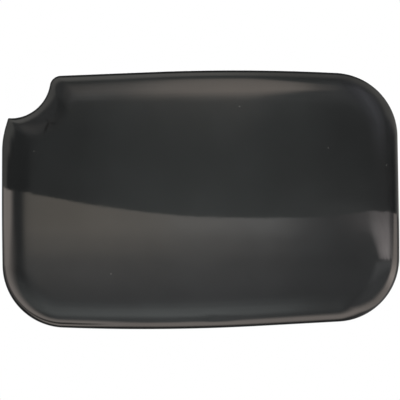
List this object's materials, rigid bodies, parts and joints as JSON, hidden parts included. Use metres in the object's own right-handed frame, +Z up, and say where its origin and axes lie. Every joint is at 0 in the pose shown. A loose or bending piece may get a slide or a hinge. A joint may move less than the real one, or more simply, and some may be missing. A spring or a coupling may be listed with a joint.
{
  "type": "car fuel door",
  "caption": "Black pressed steel fuel flap with a finger notch, hemmed round an inner panel and hung on an upright hinge pin with a bolt-on bracket.",
  "frame": {"origin": "middle of the two bolt holes, on the back face of the hinge bracket", "axes": "+X along the flap towards its hinged end, to the right seen from outside; +Y into the car; +Z up. The outer face looks along -Y"},
  "size_m": [0.19, 0.0345, 0.1237],
  "materials": {
    "skin_coat": "glossy black electrocoat on pressed steel",
    "panel_coat": "satin black electrocoat on pressed steel",
    "hinge_coat": "satin black electrocoat on thick steel",
    "mastic": "matt grey mastic",
    "rivet_steel": "zinc plated steel",
    "pin_steel": "zinc plated steel",
    "spring_steel": "dark tempered spring steel",
    "nylon": "natural nylon",
    "rubber": "soft black rubber"
  },
  "bodies": {
    "bracket": {"hinge_bracket": "hinge_coat", "hinge_pin": "pin_steel", "pin_clip": "pin_steel", "leaf_spring": "spring_steel", "spring_rivets": "rivet_steel"},
    "flap": {"outer_skin": "skin_coat", "inner_panel": "panel_coat", "anti_flutter_mastic": "mastic", "hinge_arm": "hinge_coat", "arm_rivets": "rivet_steel", "bush_upper": "nylon", "bush_lower": "nylon", "bumper_upper": "rubber", "bumper_lower": "rubber"}
  },
  "joints": [
    {"name": "flap_hinge", "type": "hinge", "parent": "bracket", "child": "flap", "pos_m": [0.02, -0.0145, 0], "axis": [0, 0, 1], "range_deg": [0, 90], "deforming": ["leaf_spring"]}
  ]
}
